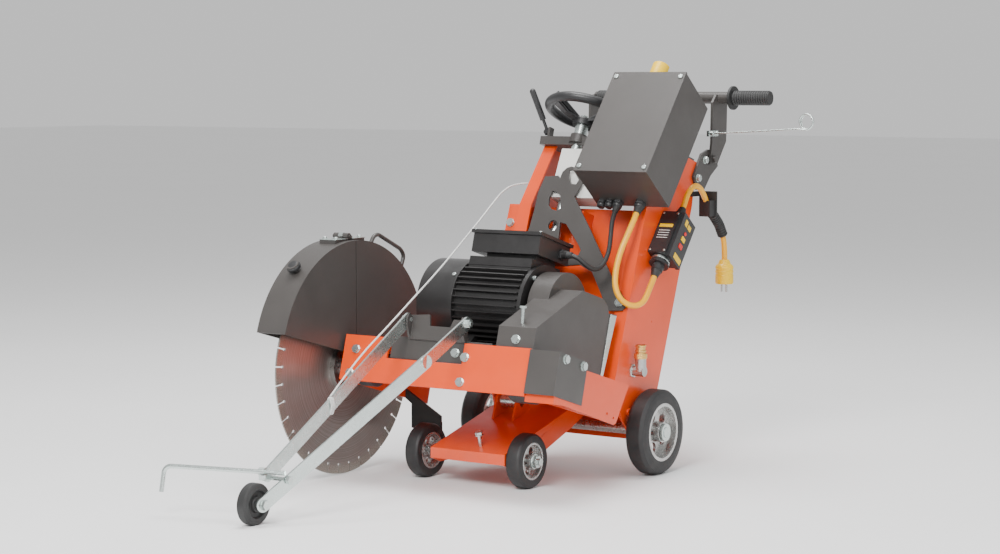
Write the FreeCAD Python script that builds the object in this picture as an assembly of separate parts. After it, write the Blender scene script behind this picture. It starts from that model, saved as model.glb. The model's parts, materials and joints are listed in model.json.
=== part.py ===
import FreeCAD, Part
import math
import os

# Walk-behind concrete saw with an electric motor, in millimetres.
# +Z is up, -Y is the direction of travel and the blade is on the -X side.
# Most pieces are laid out in deck coordinates: the origin is the rear axle and the whole deck
# is then tilted nose up about it, which is how the saw stands with its blade off the ground.
# Pieces that stand on the floor are laid out in ground coordinates, with z = 0 on the floor.

V = FreeCAD.Vector
X_AXIS = V(1, 0, 0)
Y_AXIS = V(0, 1, 0)
Z_AXIS = V(0, 0, 1)

SIZES = {
    # where the rear axle stands in the part's own frame
    "shift_x": -103.7,
    "shift_y": 326.5,
    "deck_tilt": 16.0,
    # wheels
    "rear_wheel_dia": 200.0,
    "rear_wheel_width": 50.0,
    "rear_wheel_right_x": -168.0,
    "rear_wheel_left_x": 298.0,
    "front_wheel_dia": 125.0,
    "front_wheel_width": 38.0,
    "front_wheel_right_x": -128.0,
    "front_wheel_left_x": 152.0,
    "front_axle_y": -325.0,
    "rear_axle_dia": 25.0,
    "front_axle_dia": 16.0,
    "rim_share": 0.685,
    "wheel_clearance": 0.3,
    # sheet and plate
    "sheet": 4.0,
    "plate": 6.0,
    # deck
    "deck_front_y": -503.5,
    "deck_right_x": -259.0,
    "deck_left_x": 249.0,
    "deck_rear_y": -150.0,
    "deck_top_z": 84.0,
    "front_plate_low": -3.0,
    "front_plate_high": 102.5,
    "skirt_x": 317.0,
    "skirt_rear_y": -190.0,
    # column
    "column_right_x": -93.0,
    "column_left_x": 262.0,
    "column_top_z": 669.0,
    # blade
    "blade_dia": 500.0,
    "blade_thick": 3.6,
    "blade_x": -306.0,
    "blade_y": -432.3,
    "blade_z": 34.3,
    "blade_slots": 36.0,
    "blade_flange_dia": 110.0,
    "blade_shaft_dia": 35.0,
    # blade guard
    "guard_radius": 272.0,
    "guard_rise": 26.0,
    "guard_inner_x": -268.0,
    "guard_outer_x": -350.0,
    "guard_sheet": 3.0,
    # motor
    "motor_y": -290.0,
    "motor_z": 226.0,
    "motor_radius": 105.0,
    "motor_left_x": 118.0,
    "motor_right_x": -60.0,
    "cowl_length": 98.0,
    "motor_shaft_dia": 28.0,
    "motor_pulley_dia": 62.0,
    "blade_pulley_dia": 79.0,
    "pulley_x": 178.0,
    "pulley_width": 60.0,
    "belt_thick": 5.0,
    # carriage
    "hinge_y": -60.0,
    "hinge_z": 150.0,
    "hinge_dia": 18.0,
    "carriage_right_x": -72.0,
    "carriage_left_x": 132.0,
    # lifting spindle and handwheel, in deck coordinates
    "spindle_x": 5.0,
    "spindle_y": -57.5,
    "spindle_z": 708.6,
    "spindle_lean": 10.0,
    "spindle_dia": 22.0,
    "handwheel_dia": 206.0,
    "handwheel_rim": 24.0,
    # control box, in ground coordinates
    "box_right_x": 127.0,
    "box_top_y": 95.0,
    "box_top_z": 939.0,
    "box_width": 195.0,
    "box_height": 292.0,
    "box_depth": 138.0,
    "box_tilt": 38.9,
    "box_lid": 5.0,
    # earth-leakage unit on the power cord
    "rcd_width": 58.0,
    "rcd_height": 117.0,
    "rcd_depth": 67.0,
    # handlebar
    "bar_y": 352.0,
    "bar_z": 877.0,
    "bar_dia": 30.0,
    "bar_left_x": 405.0,
    "grip_length": 98.0,
    "grip_dia": 33.0,
    "tilt_pin_y": 318.0,
    "tilt_pin_z": 728.0,
    # pointer
    "pointer_hinge_y": -450.0,
    "pointer_hinge_z": 381.0,
    "pointer_wheel_dia": 88.0,
    "pointer_wheel_x": -84.5,
    "pointer_wheel_y": -997.0,
    "pointer_bar": 30.0,
    "pointer_bar_thick": 5.0,
    "pointer_rod_dia": 10.0,
    # cords
    "power_cord_dia": 14.0,
    "motor_cable_dia": 11.0,
    "rope_dia": 4.0,
    "guide_wire_dia": 4.0,
}

doc = FreeCAD.newDocument("ConcreteSaw")
sheet = doc.addObject("Spreadsheet::Sheet", "Sizes")
for row, (alias, value) in enumerate(SIZES.items(), start=1):
    sheet.set("A%d" % row, alias)
    sheet.set("B%d" % row, str(value))
    sheet.setAlias("B%d" % row, alias)
doc.recompute()


def size(alias):
    """The value of a driving dimension, read back from the sheet."""
    return float(sheet.get(alias))


parts = []

FLAT = FreeCAD.Rotation()

rear_radius = size("rear_wheel_dia") / 2
front_radius = size("front_wheel_dia") / 2
tilt = size("deck_tilt")
shift = V(size("shift_x"), size("shift_y"), 0)
ground = FreeCAD.Placement(shift, FLAT)
deck = FreeCAD.Placement(shift + V(0, 0, rear_radius), FreeCAD.Rotation(X_AXIS, -tilt))


def deck_point(x, y, z):
    """A point given in ground coordinates, in deck coordinates."""
    return deck.inverse().multVec(V(x, y, z) + shift)


def at(frame, origin=V(0, 0, 0), rotation=FLAT):
    return frame * FreeCAD.Placement(origin, rotation)


# ---------------------------------------------------------------- makers

def register(item, label):
    item.Label = label
    parts.append(item)
    return item


def feature(label, shape, frame):
    """A sub-part whose shape is worked out in code, from sizes in the sheet."""
    item = doc.addObject("Part::Feature", label)
    item.Shape = shape
    item.Placement = frame
    return register(item, label)


def outline_edges(points):
    """Straight edges that join the points in a closed outline."""
    following = points[1:] + points[:1]
    edges = []
    for start, end in zip(points, following):
        edges.append(Part.LineSegment(V(*start, 0), V(*end, 0)))
    return edges


def revolved(label, outline, frame):
    """A PartDesign body turned about the X axis; the outline is (along X, radius)."""
    body = doc.addObject("PartDesign::Body", label)
    sketch = body.newObject("Sketcher::SketchObject", label + "_sketch")
    plane = [item for item in body.Origin.OriginFeatures if item.Role == "XY_Plane"][0]
    sketch.AttachmentSupport = [(plane, "")]
    sketch.MapMode = "FlatFace"
    for edge in outline_edges(outline):
        sketch.addGeometry(edge, False)
    turn = body.newObject("PartDesign::Revolution", label + "_turn")
    turn.Profile = sketch
    turn.ReferenceAxis = (sketch, ["H_Axis"])
    turn.Angle = 360
    body.Placement = frame
    return register(body, label)


def box(x0, x1, y0, y1, z0, z1):
    return Part.makeBox(x1 - x0, y1 - y0, z1 - z0, V(x0, y0, z0))


def rod(x0, x1, y, z, diameter):
    """A round bar along X."""
    return Part.makeCylinder(diameter / 2, x1 - x0, V(x0, y, z), X_AXIS)


def ring(x0, x1, y, z, outer, inner):
    return rod(x0, x1, y, z, outer).cut(rod(x0 - 1, x1 + 1, y, z, inner))


def prism(points, x0, x1):
    """A solid of constant section along X; the points are (y, z)."""
    wire = Part.makePolygon([V(x0, y, z) for y, z in points + points[:1]])
    return Part.Face(wire).extrude(V(x1 - x0, 0, 0))


def bar_between(start, end, diameter):
    run = end - start
    return Part.makeCylinder(diameter / 2, run.Length, start, run)


def fuse(first, *others):
    return first.multiFuse(list(others)).removeSplitter()


def bent_path(points, ratio=0.45):
    """Straight runs joined by tangent arcs, each as large as its two runs allow."""
    edges = []
    radii = []
    start = points[0]
    for before, corner, after in zip(points, points[1:], points[2:]):
        into = corner - before
        out = after - corner
        half_turn = into.getAngle(out) / 2
        cut = ratio * min(into.Length, out.Length)
        radii.append(cut / math.tan(half_turn))
        into.normalize()
        out.normalize()
        first = corner - into * cut
        last = corner + out * cut
        bisector = (first + last) * 0.5 - corner
        bisector.normalize()
        centre = corner + bisector * (radii[-1] / math.cos(half_turn))
        middle = centre - bisector * radii[-1]
        edges.append(Part.LineSegment(start, first).toShape())
        edges.append(Part.Arc(first, middle, last).toShape())
        start = last
    edges.append(Part.LineSegment(start, points[-1]).toShape())
    return Part.Wire(edges), radii


def tube_along(points, diameter, ratio=0.45):
    path, radii = bent_path(points, ratio)
    heading = points[1] - points[0]
    section = Part.Wire(Part.makeCircle(diameter / 2, points[0], heading))
    tube = path.makePipeShell([section], True, True)
    if tube.Volume < 0:
        tube.reverse()
    expected = math.pi * diameter ** 2 / 4 * path.Length
    return tube, path.Length, min(radii), tube.Volume / expected


def cord(label, points, diameter, ratio=0.45):
    """A cord's tube, with its length, smallest bend and volume check printed."""
    tube, length, tightest, share = tube_along(points, diameter, ratio)
    print("%s: length %.0f, smallest radius %.1f, volume ratio %.4f" % (label, length, tightest, share))
    return feature(label, tube, ground)


# ---------------------------------------------------------------- frame

def make_deck():
    """The welded tray: front plate with its recess, side plates, top plate and left skirt."""
    front = size("deck_front_y")
    right = size("deck_right_x")
    left = size("deck_left_x")
    rear = size("deck_rear_y")
    top = size("deck_top_z")
    low = size("front_plate_low")
    high = size("front_plate_high")
    plate = size("plate")
    skirt = size("skirt_x")
    skirt_rear = size("skirt_rear_y")
    recess = box(-135, 73, front - 1, -486, 55, high + 1)
    front_plate = box(right, left, front, front + plate, low, high)
    way = rod(right - 1, left + 1, size("blade_y"), size("blade_z"), size("blade_shaft_dia") + 18)
    right_wall = box(right, right + plate, front + plate, rear, low, top).cut(way)
    inner_wall = box(left - plate, left, front + plate, rear - 20, low, top).cut(way)
    spindle = size("spindle_x")
    spindle_slot = box(spindle - 40, spindle + 40, -208, -122, top - 10, top + 5)
    belt_slot = box(size("pulley_x") - 8, left - plate - 1, front + 10, -300, top - plate - 1, top + 1)
    cover = box(right, left, front + plate, rear - 10, top - plate, top)
    link = box(size("column_right_x") + plate, size("column_left_x") - plate, rear - 10, -104, top - plate, top)
    shelf = box(left, skirt, front + plate, skirt_rear, top - 10, top - 4)
    return_lip = box(left, skirt, front + plate, front + 2 * plate, -14, top - 10)
    skirt_plate = prism([(front + plate, -14), (front + plate, top - 4), (skirt_rear, top - 4),
                         (skirt_rear - 34, -14), (skirt_rear - 42, -18), (-446, -10)], skirt, skirt + plate)
    tray = fuse(front_plate, right_wall, inner_wall, cover.cut(belt_slot), link, shelf, return_lip, skirt_plate)
    for y, z in ((-268, 2), (-238, -3)):
        tray = tray.cut(rod(skirt - 1, skirt + plate + 1, y, z, 6))
    feature("deck_frame", tray.cut(spindle_slot).cut(recess), deck)


def column_outline():
    """Side plate of the column, (y, z) in deck coordinates, from the foot at the axle upwards."""
    top = size("column_top_z")
    return [(-154, 93), (-128, 505), (-58, top), (76, top), (84, 560), (47, 107),
            (32, -30), (-32, -30), (-104, 16)]


def make_column():
    """The welded column: side plates with folded edges, front panel, ties and the hinge bar."""
    right = size("column_right_x")
    left = size("column_left_x")
    top = size("column_top_z")
    plate = size("plate")
    outline = column_outline()
    hinge = deck_point(0, size("hinge_y"), size("hinge_z"))
    axle = rod(right - 1, left + 1, 0, 0, size("rear_axle_dia"))
    plates = [prism(outline, x, x + plate).cut(axle) for x in (right, left - plate)]
    fold = [(-154, 93), (-128, 505), (-58, top), (-52, top), (-122, 506), (-148, 93)]
    folds = [prism(fold, left - 34, left - plate), prism(fold, right + plate, right + 34)]
    tab = prism([(-134.2, 400), (-127.6, 505), (-122.6, 505), (-129.2, 400)], right - 28, right)
    panel = prism([(-104, 84), (-70, 512), (-66, 512), (-100, 84)], right + plate, left - plate)
    rear_tie = prism([(40, 107), (78, 540), (82, 540), (44, 107)], right + plate, left - plate)
    foot_tie = box(right + plate, left - plate, 14, 18, -22, 60)
    small_bracket = box(60, 88, -122, -68, 455, 495).cut(box(64, 84, -118, -60, 450, 500))
    hinge_bar = rod(right - 6, left + 5, hinge.y, hinge.z, size("hinge_dia"))
    shape = fuse(plates[0], plates[1], folds[0], folds[1], tab, panel, rear_tie, foot_tie,
                 small_bracket, hinge_bar)
    feature("column_frame", shape, deck)


def make_console():
    """The dark channel across the top of the column, with the spindle boss and lever stud."""
    right = size("column_right_x") - 5
    left = size("column_left_x")
    top = size("column_top_z")
    thick = size("sheet")
    notch = size("box_right_x") - 5
    top_plate = box(right, notch, -75, 62, top, top + thick).fuse(box(notch, left, -46, 62, top, top + thick))
    flange = box(right, notch, -75, -75 + thick, top + thick, top + 21)
    end_flange = box(right, right + thick, -71, 62, top + thick, top + 21)
    boss = Part.makeCylinder(22, 22, spindle_point(-36.6), spindle_direction())
    bore = Part.makeCylinder(size("spindle_dia") / 2 + 0.05, 80, spindle_point(-80), spindle_direction())
    lug = box(-82, -76, -71, -53, top + thick, 714)
    stud = rod(-98, -82, -62, 704, 8)
    shape = fuse(top_plate, flange, end_flange, boss).cut(bore)
    feature("console_plate", fuse(shape, lug, stud), deck)


def spindle_direction():
    lean = math.radians(size("spindle_lean"))
    return V(0, math.sin(lean), math.cos(lean))


def spindle_point(along):
    """A point on the lifting spindle's axis, measured upwards from its reference height."""
    return V(size("spindle_x"), size("spindle_y"), size("spindle_z")) + spindle_direction() * along


def make_lifting_bracket():
    """The flat lifting eye on the column's folds, with its slot, eye and diamond opening.

    Laid out as (x, height along the fold) from the fold's lower end."""
    plate = size("plate")
    outline = [(-44, 398), (-42, 443), (-31, 483), (6, 486), (12, 479), (16, 496), (26, 506), (38, 510),
               (48, 508), (55, 500), (77, 470), (62, 434), (85, 404), (124, 354), (170, 292), (212, 235),
               (253, 190), (257, 175), (250, 164), (214, 161), (205, 170), (186, 200), (150, 252),
               (112, 268), (60, 262), (-26, 262), (-46, 250), (-56, 200), (-62, 176), (-84, 176), (-84, 206),
               (-66, 262), (-48, 355)]
    openings = [[(34, 500), (46, 501), (66, 477), (61, 466), (44, 466), (36, 480)],
                [(-3, 447), (11, 446), (22, 437), (30, 404), (19, 398), (4, 402), (-6, 411), (-8, 432)],
                [(36, 370), (54, 366), (69, 349), (95, 321), (108, 304), (104, 292), (88, 284), (44, 284)]]
    shape = upright(outline, plate)
    for points in openings:
        shape = shape.cut(upright(points, plate + 2).translate(V(0, 1, 0)))
    eye = Part.makeCylinder(13, plate + 2, V(17, 1, 361), V(0, -1, 0))
    lean = math.degrees(math.atan2(26, 412))
    frame = at(deck, V(0, -154, 93), FreeCAD.Rotation(X_AXIS, -lean))
    feature("lifting_bracket", shape.cut(eye), frame)


def upright(points, thickness):
    """A plate of constant thickness towards -Y; the points are (x, z)."""
    wire = Part.makePolygon([V(x, 0, z) for x, z in points + points[:1]])
    return Part.Face(wire).extrude(V(0, -thickness, 0))


# ---------------------------------------------------------------- wheels

def wheel_tyre(radius, width, rim_radius):
    """Tyre section with flat tread and rounded shoulders, turned about the X axis."""
    half = width / 2
    tread = half * 0.6
    shoulder = radius * 0.94
    return [(-half, rim_radius), (-half, radius * 0.8), (-half * 0.92, shoulder), (-tread, radius),
            (tread, radius), (half * 0.92, shoulder), (half, radius * 0.8), (half, rim_radius)]


def make_wheel(where, side, x, y, z, radius, width, bore, frame):
    """Rubber tyre and five-spoked alloy rim of one wheel."""
    rim_radius = radius * size("rim_share")
    centre = V(x, y, z)
    revolved("tyre_%s_%s" % (where, side), wheel_tyre(radius, width, rim_radius), at(frame, centre))
    half = width / 2
    outer = ring(-half + 1, half - 1, 0, 0, 2 * rim_radius, 2 * rim_radius * 0.88)
    hub = ring(-half + 1, half - 1, 0, 0, bore * 1.9, bore + size("wheel_clearance"))
    inner_side = -1 if side == "left" else 1
    web = ring(-4, 4, 0, 0, 2 * rim_radius * 0.9, bore * 1.7).translate(V(inner_side * half * 0.1, 0, 0))
    shape = fuse(outer, hub, web)
    spokes = 5
    for index in range(spokes):
        angle = 360.0 / spokes * (index + 0.5)
        reach = rim_radius * 0.58
        window = Part.makeCylinder(rim_radius * 0.2, width, V(-half, 0, reach), X_AXIS)
        window.rotate(V(0, 0, 0), X_AXIS, angle)
        shape = shape.cut(window)
    feature("rim_%s_%s" % (where, side), shape, at(frame, centre))


def make_wheels():
    for side in ("left", "right"):
        make_wheel("rear", side, size("rear_wheel_%s_x" % side), 0, 0, rear_radius,
                   size("rear_wheel_width"), size("rear_axle_dia"), deck)
        make_wheel("front", side, size("front_wheel_%s_x" % side), size("front_axle_y"), front_radius,
                   front_radius, size("front_wheel_width"), size("front_axle_dia"), ground)


def make_rear_axle():
    """Rear axle with its distance tubes and the hub caps that hold the wheels on."""
    dia = size("rear_axle_dia")
    half = size("rear_wheel_width") / 2
    wheel_right = size("rear_wheel_right_x")
    wheel_left = size("rear_wheel_left_x")
    collar = dia + 12
    gap = 0.6
    bar = rod(wheel_right - half - 8, wheel_left + half + 8, 0, 0, dia)
    pieces = [rod(wheel_right + half + gap, size("column_right_x"), 0, 0, collar),
              rod(size("column_left_x"), wheel_left - half - gap, 0, 0, collar),
              rod(wheel_left + half + gap, wheel_left + half + 6, 0, 0, collar + 4),
              rod(wheel_right - half - 6, wheel_right - half - gap, 0, 0, collar + 4)]
    feature("rear_axle", fuse(bar, *pieces), deck)


# ---------------------------------------------------------------- carriage

def make_carriage():
    """The folded front carriage that swings on the hinge bar and carries the front wheels."""
    right = size("carriage_right_x")
    left = size("carriage_left_x")
    thick = 5.0
    front = -385.0
    axle_y = size("front_axle_y")
    flange = [(front, 57), (front, 82), (-100, 156), (-42, 172), (-42, 132), (-100, 108),
              (-292, 44), (-350, 44)]
    top = prism([(front, 77), (front, 82), (-100, 156), (-100, 151)], right, left)
    lip = box(right, left, front, front + thick, 57, 80)
    sides = [prism(flange, right, right + thick), prism(flange, left - thick, left)]
    hinge_y = size("hinge_y")
    hinge_z = size("hinge_z")
    sleeve = rod(right, left, hinge_y, hinge_z, size("hinge_dia") + 12)
    bore = rod(right - 1, left + 1, hinge_y, hinge_z, size("hinge_dia") + 0.1)
    axle_hole = rod(right - 1, left + 1, axle_y, front_radius, size("front_axle_dia"))
    lug_right = size("spindle_x") - 31
    lug_left = size("spindle_x") + 25
    lug = [(-204, 129), (-186, 182), (-178, 187), (-155, 187), (-147, 180), (-134, 147)]
    slot = rod(lug_right - 1, lug_left + 10, -166.4, 168.7, 22)
    lugs = [prism(lug, x, x + 6).cut(slot) for x in (lug_right, lug_left)]
    shape = fuse(top, lip, sides[0], sides[1], sleeve, lugs[0], lugs[1]).cut(bore).cut(axle_hole)
    feature("front_carriage", shape, ground)


def make_front_axle():
    """Front axle with washers and nuts outside both wheels."""
    dia = size("front_axle_dia")
    half = size("front_wheel_width") / 2
    y = size("front_axle_y")
    right = size("front_wheel_right_x")
    left = size("front_wheel_left_x")
    bar = rod(right - half - 20, left + half + 20, y, front_radius, dia)
    gap = 0.6
    pieces = []
    for x, outward in ((left, 1), (right, -1)):
        start = x + outward * (half + gap)
        washer_end = start + outward * 3
        nut_end = washer_end + outward * 9
        pieces.append(rod(min(start, washer_end), max(start, washer_end), y, front_radius, 34))
        pieces.append(hex_bar(min(washer_end, nut_end), 9, y, front_radius, 26))
    pieces.append(rod(right + half + gap, size("carriage_right_x"), y, front_radius, dia + 8))
    feature("front_axle", fuse(bar, *pieces), ground)


def hex_bar(x, length, y, z, across):
    """A hexagonal head or nut along X."""
    corner = across / math.sqrt(3)
    points = []
    for index in range(6):
        angle = math.radians(60 * index)
        points.append((y + corner * math.cos(angle), z + corner * math.sin(angle)))
    return prism(points, x, x + length)


# ---------------------------------------------------------------- lifting spindle

def make_spindle():
    """Handwheel, screw, housing and the sliding link that pushes on the carriage."""
    axis = spindle_direction()
    dia = size("spindle_dia")
    x = size("spindle_x")
    screw = Part.makeCylinder(dia / 2, 532, spindle_point(-520), axis)
    hub = Part.makeCylinder(16, 24, spindle_point(-12), axis)
    collar = Part.makeCylinder(14, 15, spindle_point(-61), axis)
    feature("spindle_screw", fuse(screw, hub, collar), deck)

    tube_radius = size("handwheel_rim") / 2
    rim_radius = size("handwheel_dia") / 2 - tube_radius
    rim_centre = spindle_point(50)
    rim = Part.makeTorus(rim_radius, tube_radius, rim_centre, axis)
    cap = Part.makeCylinder(25, 14, spindle_point(12), axis)
    spokes = []
    for index in range(3):
        spoke = bar_between(spindle_point(19), rim_centre + V(0, rim_radius, 0), 14)
        spoke.rotate(spindle_point(0), axis, 120 * index + 30)
        spokes.append(spoke)
    feature("handwheel", fuse(rim, cap, *spokes), deck)

    lean = at(deck, spindle_point(0), FreeCAD.Rotation(X_AXIS, -size("spindle_lean")))
    case = box(-19, 117, -32, 22, -190, -62)
    leg = box(107, 117, -10, 8, -62, -41.8)
    way = Part.makeCylinder(dia / 2 + 2, 140, V(0, 0, -196), Z_AXIS)
    feature("spindle_housing", fuse(case, leg).cut(way), lean)

    pin = spindle_point(-699)
    tube = Part.makeCylinder(15, 420, spindle_point(-684), axis)
    screw_way = Part.makeCylinder(dia / 2 + 0.05, 480, spindle_point(-600), axis)
    eye = rod(x - 22, x + 22, pin.y, pin.z, 32)
    clevis_pin = rod(x - 35, x + 35, pin.y, pin.z, 12)
    feature("lift_link", fuse(tube, eye, clevis_pin).cut(screw_way), deck)


def make_lever():
    """Locking lever beside the handwheel, with its black grip."""
    foot = V(-88, -62, 704)
    tip = V(-116, -113, 792)
    run = tip - foot
    boss = ring(-93, -82.4, foot.y, foot.z, 18, 8.1)
    stem = bar_between(foot + run * 0.07, foot + run * 0.4, 8)
    grip = bar_between(foot + run * 0.3, tip, 15)
    feature("lock_lever", fuse(stem, grip, Part.makeSphere(7.5, tip), boss).cut(rod(-99, -82, foot.y, foot.z, 8.1)),
            deck)


# ---------------------------------------------------------------- motor and drive

def make_motor():
    """Finned stator with its end bell, fan cowl, rotor with fan, and the terminal box."""
    y = size("motor_y")
    z = size("motor_z")
    radius = size("motor_radius")
    left = size("motor_left_x")
    right = size("motor_right_x")
    shaft_dia = size("motor_shaft_dia")
    core = 2 * radius - 22
    bore = 118.0
    stator = ring(right, left, y, z, core, bore)
    fins = []
    fin_count = 40
    for index in range(fin_count):
        fin = box(right + 2, left - 2, y - 1.5, y + 1.5, z + core / 2 - 2, z + radius)
        fin.rotate(V(0, y, z), X_AXIS, 360.0 / fin_count * index)
        fins.append(fin)
    feet = [box(x, x + 44, y - 96, y + 86, 108, 122) for x in (-48, 62)]
    stools = [prism([(y - 84, 116), (y + 84, 116), (y + 46, 165), (y - 46, 165)], x, x + 38) for x in (-45, 65)]
    saddle = box(right + 4, left - 2, y - 62, y + 62, z + 66, z + radius - 1)
    pedestal = box(-22, 112, y - 44, y + 44, z + radius - 2, 340)
    bell = ring(left, left + 10, y, z, 2 * radius - 8, 100)
    nose = ring(left + 4, left + 16, y, z, 110, shaft_dia + 0.1)
    hollow = rod(right - 1, left, y, z, bore)
    body = stator.multiFuse(fins + feet + stools + [saddle, pedestal]).cut(hollow)
    feature("motor_stator", fuse(body, bell, nose), deck)

    cowl_end = right - size("cowl_length")
    cowl = ring(cowl_end, right, y, z, 2 * radius, 2 * radius - 5)
    grille = ring(cowl_end, cowl_end + 3, y, z, 2 * radius, 60)
    bearing_plate = ring(right - 12, right, y, z, 2 * radius - 3, shaft_dia + 0.1)
    feature("motor_fan_cowl", fuse(cowl, grille, bearing_plate), deck)

    shaft = rod(right - 64, size("pulley_x") + size("pulley_width") + 2, y, z, shaft_dia)
    armature = rod(-40, 98, y, z, 115)
    fan = [rod(right - 58, right - 34, y, z, 60)]
    for index in range(7):
        blade = box(right - 56, right - 36, y - 1.5, y + 1.5, z + 28, z + 88)
        blade.rotate(V(0, y, z), X_AXIS, 360.0 / 7 * index)
        fan.append(blade)
    feature("motor_rotor", fuse(shaft, armature, *fan), deck)

    case = box(-52, 132, y - 66, y + 66, 340, 384)
    lid = box(-57, 137, y - 71, y + 71, 384, 392)
    gland = Part.makeCylinder(11, 18, V(132, y + 30, 360), X_AXIS)
    feature("terminal_box", fuse(case, lid, gland), deck)


def pulley(width, diameter, bore):
    """A three-groove belt pulley along X, from x = 0."""
    depth = 7.0
    outline = [(0, bore / 2), (0, diameter / 2)]
    grooves = 3
    land = 4.0
    pitch = (width - land) / grooves
    for index in range(grooves):
        start = land + index * pitch
        end = start + pitch - land
        middle = (start + end) / 2
        outline += [(start, diameter / 2), (middle - 2, diameter / 2 - depth),
                    (middle + 2, diameter / 2 - depth), (end, diameter / 2)]
    outline += [(width, diameter / 2), (width, bore / 2)]
    return outline


def make_pulleys():
    width = size("pulley_width")
    motor = V(size("pulley_x"), size("motor_y"), size("motor_z"))
    blade = V(size("pulley_x"), size("blade_y"), size("blade_z"))
    revolved("motor_pulley", pulley(width, size("motor_pulley_dia"), size("motor_shaft_dia")),
             at(deck, motor))
    revolved("blade_pulley", pulley(width, size("blade_pulley_dia"), size("blade_shaft_dia")),
             at(deck, blade))
    small = size("motor_pulley_dia") / 2 + 0.5
    large = size("blade_pulley_dia") / 2 + 0.5
    outer = belt_loop(small + size("belt_thick"), large + size("belt_thick"))
    inner = belt_loop(small, large)
    feature("drive_belt", outer.cut(inner), deck)


def belt_loop(small, large):
    """The solid inside a belt that runs round the two pulleys, for the given radii."""
    start = V(size("pulley_x") + 3, size("motor_y"), size("motor_z"))
    end = V(size("pulley_x") + 3, size("blade_y"), size("blade_z"))
    width = size("pulley_width") - 6
    run = end - start
    open_angle = math.acos((small - large) / run.Length)
    heading = math.atan2(run.z, run.y)
    points = []
    for radius, centre, side in ((small, start, 1), (large, end, 1), (large, end, -1), (small, start, -1)):
        angle = heading + side * open_angle
        points.append(V(centre.x, centre.y + radius * math.cos(angle), centre.z + radius * math.sin(angle)))
    sides = Part.Face(Part.makePolygon(points + points[:1])).extrude(V(width, 0, 0))
    rounds = [Part.makeCylinder(small, width, start, X_AXIS), Part.makeCylinder(large, width, end, X_AXIS)]
    return sides.multiFuse(rounds).removeSplitter()


def make_motor_plate():
    """Sliding motor plate on its rails, with the front flange and the pointer's bracket."""
    plate = box(-150, 140, -494, -192, 100, 108)
    flange = box(-130, 68, -497, -489, 57, 108)
    rails = [box(x, x + 30, -480, -200, size("deck_top_z"), 100) for x in (-150, 110)]
    step = box(-84.5, 72, -502, -490, 103, 116)
    face_outline = [(-84.5, 106), (-84.5, 158), (-36, 162), (-30, 136), (26, 136), (32, 154), (72, 154), (72, 106)]
    face = upright(face_outline, 6)
    face.translate(V(0, -496, 0))
    hinge = deck_point(0, size("pointer_hinge_y"), size("pointer_hinge_z"))
    ears = []
    for x in (-84.5, 66):
        ear = prism([(-498, 106), (-498, 154), (hinge.y - 10, 158), (hinge.y - 14, 148), (hinge.y - 10, 130),
                     (-504, 106)], x, x + 6)
        ears.append(ear.cut(rod(x - 1, x + 7, hinge.y, hinge.z, 10.1)))
    feature("motor_plate", fuse(plate, flange, rails[0], rails[1], step, face, ears[0], ears[1]), deck)


def make_blade():
    """The diamond blade with its segment gaps, its shaft with flanges, and the bearings."""
    y = size("blade_y")
    z = size("blade_z")
    x = size("blade_x")
    half = size("blade_thick") / 2
    radius = size("blade_dia") / 2
    disc = ring(x - half, x + half, y, z, 2 * radius, size("blade_shaft_dia"))
    slots = []
    count = int(size("blade_slots"))
    for index in range(count):
        slot = box(x - half - 1, x + half + 1, y - 1.6, y + 1.6, z + radius - 22, z + radius + 2)
        eye = Part.makeCylinder(3.4, 2 * half + 2, V(x - half - 1, y, z + radius - 22), X_AXIS)
        for tool in (slot, eye):
            tool.rotate(V(0, y, z), X_AXIS, 360.0 / count * index)
            slots.append(tool)
    feature("blade", disc.cut(slots), deck)

    dia = size("blade_shaft_dia")
    flange = size("blade_flange_dia")
    shaft = rod(x - 26, 304, y, z, dia)
    inner_flange = rod(x + half, x + half + 12, y, z, flange)
    outer_flange = rod(x - half - 10, x - half, y, z, flange)
    nut = hex_bar(x - half - 24, 14, y, z, 46)
    feature("blade_shaft", fuse(shaft, inner_flange, outer_flange, nut), deck)

    housings = []
    for start, end, seat in ((-245, -205, size("deck_top_z") - 6), (258, 300, size("deck_top_z") - 10)):
        block = rod(start, end, y, z, 78)
        arch = box(start, end, y - 34, y + 34, z, seat)
        foot = box(start, end, y - 54, y + 60, seat - 10, seat)
        bore = rod(start - 1, end + 1, y, z, dia + 0.1)
        housings.append(fuse(block, arch, foot).cut(bore))
    feature("bearing_housings", Part.makeCompound(housings), deck)


# ---------------------------------------------------------------- guards

def guard_centre():
    """Centre of the guard's round rim in ground coordinates, (y, z)."""
    blade = ground.inverse().multVec(deck.multVec(V(0, size("blade_y"), size("blade_z"))))
    return blade.y, blade.z + size("guard_rise")


def guard_block(radius, x0, x1, points):
    """A drum along X cut to the (y, z) outline."""
    centre_y, centre_z = guard_centre()
    drum = Part.makeCylinder(radius, x1 - x0, V(x0, centre_y, centre_z), X_AXIS)
    return drum.common(prism(points, x0, x1))


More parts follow.
